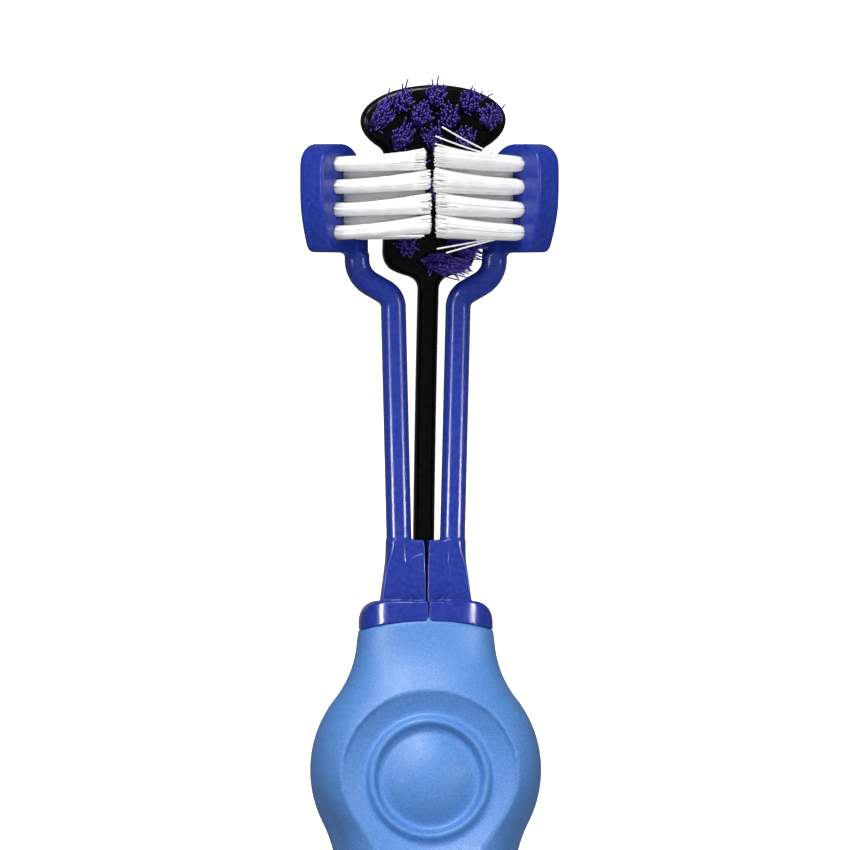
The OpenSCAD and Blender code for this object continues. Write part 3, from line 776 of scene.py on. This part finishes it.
def build_side_tuft(rng, ty, tback, shape, strays, count):
    """Mesh of one right-hand tuft, from the bottom of its hole to its ragged tips."""
    root_r, tip_half, lift, gap = shape
    face = np.array([PLATE_X - tback * math.sin(TILT), ty, PLATE_Z - tback * math.cos(TILT)])
    along = np.array([-math.cos(TILT), 0, math.sin(TILT)])
    up = np.array([0.0, 1.0, 0.0])
    side = np.cross(along, up)
    length = (face[0] - gap) / math.cos(TILT)
    # the ends are trimmed in one upright plane, so bristles nearer the front are longer
    trim = TUFT_DEPTH * math.tan(TILT)

    def place(u, v, reach):
        """Point at the disc place (u, v), each from -1 to 1, a reach in mm from the tuft face."""
        s = np.clip(reach / length, 0, 1.05)
        swell = np.clip(reach / 0.5, 0, 1)
        root = 1.0 + (root_r - 1.0) * swell
        half_u = root + (tip_half - root_r) * s**1.7
        half_v = root + (TUFT_DEPTH - root_r) * s**1.7
        rise = u * half_u + lift * s**1.6
        outward = face + np.multiply.outer(reach, along)
        return outward + np.multiply.outer(rise, up) + np.multiply.outer(v * half_v, side)

    # a solid core, a shell of fine bristles round it, the bristles' tips, and the strays
    meshes = []
    rings = []
    core_end = length - trim - 0.1
    shares = (0.15, 0.3, 0.45, 0.6, 0.75, 0.87, 0.96, 1.0)
    for reach in [-2.3, -0.3, 0.3, 0.8] + [share * core_end for share in shares]:
        shrink = 0.97 if reach < core_end else 0.8
        c = place(0.0, 0.0, reach)
        rings.append((c, shrink * (place(1.0, 0.0, reach) - c), shrink * (place(0.0, 1.0, reach) - c)))
    meshes.append(core_tube(rings, 24, rng, 0.035))
    for _ in range(count):
        a = rng.uniform(0, 2 * math.pi)
        r = rng.uniform(0.88, 0.96)
        end = length - trim * r * math.sin(a) - abs(rng.normal(0, 0.3))
        twist = rng.normal(0, 0.05)
        reach = np.array([-0.4, 0.12 * end, 0.35 * end, 0.58 * end, 0.8 * end, end])
        turn = a + twist * reach / length
        path = np.array([place(r * math.cos(t), r * math.sin(t), q) for t, q in zip(turn, reach)])
        meshes.append(tube(path, SHELL_R, BRISTLE_SIDES))
    for u, v in sunflower(count, 0.9):
        end = length - trim * v - abs(rng.normal(0, 0.34)) + 0.15
        reach = np.array([0.78 * end, 0.9 * end, end])
        push_u, push_v = rng.normal(0, 0.05, 2)
        path = [
            place(u, v, reach[0]),
            place(u + push_u / 2, v + push_v / 2, reach[1]),
            place(u + push_u, v + push_v, end),
        ]
        meshes.append(tube(np.array(path), BRISTLE_R, BRISTLE_SIDES))
    for move in strays:
        t = np.linspace(0, 1, 8)
        reach = t * length
        away = np.clip((t - 0.12) / 0.88, 0, 1)[:, None] ** 1.15
        path = place(0.5 * np.sign(move[1]), 0.0, reach) + away * np.array(move)
        meshes.append(tube(path, STRAY_R, 6))
    return join_meshes(meshes)


def build_side_bristles():
    count = 60
    heads = (("right", 1, RIGHT_TUFTS, RIGHT_STRAYS), ("left", -1, LEFT_TUFTS, LEFT_STRAYS))
    for name, sign, front, strays in heads:
        flip = np.array([sign, 1, 1])
        for number, (ty, tback) in enumerate(side_tuft_places()):
            rng = np.random.default_rng(100 * (2 + sign) + number)
            shape = (front + BACK_TUFTS)[number]
            points, quads = build_side_tuft(rng, ty, tback, shape, strays.get(number, []), count)
            label = f"{number + 1:02d}"
            piece = f"{name}_bristles_{label}"
            tuft = make_piece(piece, points * flip, quads[:, ::sign], white_bristle)
            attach(tuft, f"{name}_arm_body")
            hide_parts(f"{name}_tuft_{label}")


# lean of a centre tuft's tips, the least and most share of it that a bristle takes, and the tips of its
# loose bristles; a tuft whose tips lean further than SPLAYED is one that lies flat
SPLAYED, FREE_LENGTH = 3, 5.7
PLAIN_LEAN = ((0.0, 0.9), (0.8, 1.2), [])
CENTRE_LEAN = {
    0: ((0.0, 1.0), (0.5, 1.3), [(-0.6, 3.5), (-0.15, 2.9), (1.0, 2.8)]),
    1: ((0.1, 0.9), (0.6, 1.3), [(-0.1, 3.0), (0.8, 2.7), (-0.4, 2.5)]),
    2: ((0.0, 0.95), (0.6, 1.3), [(2.8, 1.8), (-0.5, 2.3), (0.25, 2.3)]),
    3: ((0.7, 1.5), (-0.1, 1.9), [(0.85, 4.3), (1.2, 3.8), (-0.9, -0.3)]),
    4: ((-0.6, 1.2), (0.5, 1.4), [(0.9, 1.9)]),
    5: ((0.35, 1.25), (0.7, 1.3), [(0.5, 2.6)]),
    6: ((-0.6, 0.85), (0.6, 1.4), [(0.7, 1.7)]),
    7: ((-0.45, 1.1), (0.5, 1.5), []),
    8: ((0.2, 1.4), (0.8, 1.2), [(0.3, 3.0), (-1.4, -0.2)]),
    9: ((-0.7, 0.9), (0.6, 1.4), [(0.9, 2.0)]),
    17: ((-0.2, -0.5), (0.4, 1.5), []),
    18: ((4.9, -1.3), (0.45, 1.1), [(4.4, 0.2), (2.0, 0.5)]),
    19: ((4.9, -0.9), (0.25, 1.1), [(-1.5, -0.6), (-2.1, -0.2), (-1.1, -1.3), (2.0, -1.6)]),
}


def centre_bristle_path(place, u, v, free, lean, sway):
    """Path of one bristle of a centre tuft that starts at (u, v) in its hole and leans as it rises."""
    reach = np.array([-HOLE_D + 0.15, -0.6, 0.0, 0.3, 0.55, 0.8, 1.0])
    reach[3:] *= free
    s = np.clip(reach / free, 0, 1)
    shift = min(math.hypot(*lean), 0.93 * free)
    drop = free - math.sqrt(free**2 - shift**2)
    wide = 1 + 0.52 * s**1.4
    x = place[0] + u * wide + lean[0] * s**1.35 + sway[0] * np.sin(3.4 * s)
    y = place[1] + v * wide + lean[1] * s**1.35 + sway[1] * np.sin(3.4 * s)
    return np.stack([x, y, STEM_FRONT + reach - drop * s**2], 1)


def centre_core_rings(place, lean, splayed):
    """Rings of the solid middle of a centre tuft."""
    rings = []
    for reach in (-2.3, -0.2, 0.8, 2.0, 3.0):
        s = max(reach, 0) / FREE_LENGTH
        z = STEM_FRONT + reach * (0.5 if splayed else 1)
        c = np.array([place[0] + lean[0] * s**1.35, place[1] + lean[1] * s**1.35, z])
        wide = 0.8 * (1 + 0.1 * s)
        rings.append((c, np.array([wide, 0, 0]), np.array([0, wide, 0])))
    return rings


def build_centre_bristles():
    count = 70
    for number, place in enumerate(CENTRE_TUFTS):
        rng = np.random.default_rng(900 + number)
        lean, share, loose = CENTRE_LEAN.get(number, PLAIN_LEAN)
        splayed = math.hypot(*lean) > SPLAYED
        meshes = []
        for u, v in sunflower(count, TUFT_R - 0.1):
            part = rng.uniform(*share)
            push = rng.normal(0, 0.28, 2) * (1.7 if splayed else 1.0)
            tip = (lean[0] * part + push[0], lean[1] * part + push[1])
            free = (6.2 if splayed else FREE_LENGTH) + rng.normal(0, 0.2)
            sway = rng.normal(0, 0.3 if splayed else 0.15, 2)
            path = centre_bristle_path(place, u, v, free, tip, sway)
            meshes.append(tube(path, BRISTLE_R, BRISTLE_SIDES))
        for move in loose:
            u, v = rng.uniform(-0.5, 0.5, 2)
            path = centre_bristle_path(place, u, v, 6.3, move, rng.normal(0, 0.1, 2))
            meshes.append(tube(path, LOOSE_R, BRISTLE_SIDES))
        per_bristle = len(meshes[0][1])
        # the rounded end of each bristle takes the lighter tip material, a painted highlight
        tips = np.tile(np.arange(per_bristle) >= 6 * BRISTLE_SIDES, len(meshes))
        core = core_tube(centre_core_rings(place, lean, splayed), 16, rng, 0.06)
        meshes.append(core)
        points, quads = join_meshes(meshes)
        label = f"{number + 1:02d}"
        piece = f"centre_bristles_{label}"
        tuft = make_piece(piece, leaned(points), quads, purple_bristle)
        # second slot: the lighter tip purple of the painted highlight on the bristle ends
        tuft.data.materials.append(painted_highlight_tip)
        tips = np.append(tips, np.zeros(len(core[1]), bool))
        tuft.data.polygons.foreach_set("material_index", tips.astype(np.int32))
        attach(tuft, "centre_arm_body")
        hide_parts(f"centre_tuft_{label}")


# ---------------------------------------------------------------- stage, light and camera


def build_stage():
    mesh = bpy.data.meshes.new("floor")
    s = 8.0  # metres, so that the floor fills a low view too
    mesh.from_pydata([(-s, -s, 0), (s, -s, 0), (s, s, 0), (-s, s, 0)], [], [(0, 1, 2, 3)])
    floor = bpy.data.objects.new("floor", mesh)
    bpy.context.scene.collection.objects.link(floor)
    # low enough for the head of the centre arm when that is bent back as far as it goes
    floor.location.z = -FLOOR_DROP * MM
    material, shader = new_material("floor", (0.93, 0.93, 0.93), 0.9)
    shader.inputs["Emission Color"].default_value = (1, 1, 1, 1)
    shader.inputs["Emission Strength"].default_value = 0.75
    mesh.materials.append(material)
    # the floor is lit white, but its glow stays off the object
    floor.visible_diffuse = False
    floor.visible_glossy = False


def add_area(name, place, size, power, target=(0, 0.04, 0.01)):
    """A rectangular soft light aimed at the target, which is the middle of the arms unless it is given."""
    data = bpy.data.lights.new(name, "AREA")
    data.shape = "RECTANGLE"
    data.size, data.size_y = size
    data.energy = power
    light = bpy.data.objects.new(name, data)
    bpy.context.scene.collection.objects.link(light)
    light.location = Vector(place)
    light.rotation_euler = (Vector(target) - Vector(place)).to_track_quat("-Z", "Y").to_euler()
    return light


def build_lights():
    world = bpy.data.worlds.new("studio")
    world.use_nodes = True
    world.node_tree.nodes["Background"].inputs["Color"].default_value = (1, 1, 1, 1)
    world.node_tree.nodes["Background"].inputs["Strength"].default_value = 0.20
    bpy.context.scene.world = world
    add_area("key", (-0.13, 0.62, 0.48), (0.30, 0.30), 4.5)
    add_area("left_key", (-0.42, 0.42, 0.50), (0.12, 0.12), 1.0)
    # strips that only make highlights: faint long ones, and narrow beams at the foot of the arms
    foot = (0, 0.034, 0.012)
    strips = [
        add_area("right_strip", (0.56, 0.16, 0.50), (0.22, 0.045), 0.8),
        add_area("left_strip", (-0.52, 0.125, 0.52), (0.20, 0.045), 0.8),
        add_area("right_glint", (0.140, 0.034, 0.125), (0.030, 0.018), 0.0011, foot),
        add_area("left_glint", (-0.130, 0.034, 0.130), (0.030, 0.018), 0.0011, foot),
    ]
    for strip in strips:
        strip.visible_diffuse = strip.visible_camera = False
    for glint in strips[2:]:
        glint.data.spread = math.radians(16)
    # a wide overhead light that fills the shadows but leaves no haze on the glossy mouldings
    overhead = add_area("overhead", (0.15, -0.05, 0.95), (1.4, 1.4), 10.0)
    overhead.visible_glossy = False


def build_camera():
    view_mm, distance, yaw = 119.0, 4000.0, math.radians(4.0)
    centre = Vector((-0.1, 52.3, MID_Z)) * MM
    data = bpy.data.cameras.new("camera")
    data.sensor_width = 36.0
    data.lens = 36.0 * distance / view_mm
    data.clip_start = 0.01
    camera = bpy.data.objects.new("camera", data)
    bpy.context.scene.collection.objects.link(camera)
    camera.location = centre + Vector((-math.sin(yaw), 0, math.cos(yaw))) * distance * MM
    camera.rotation_euler = (0, -yaw, 0)
    bpy.context.scene.camera = camera


def finish_anchors():
    """The anchors keep their CAD shape and take the brass material."""
    for name in ("left_anchors", "right_anchors", "centre_anchors"):
        for material_slot in frame["nodes"][name].material_slots:
            material_slot.material = anchor_wire


build_camera()
build_lights()
build_stage()
build_grip()
build_halves()
build_centre_arm()
build_side_bristles()
build_centre_bristles()
finish_anchors()
bpy.context.scene.view_settings.view_transform = "Standard"
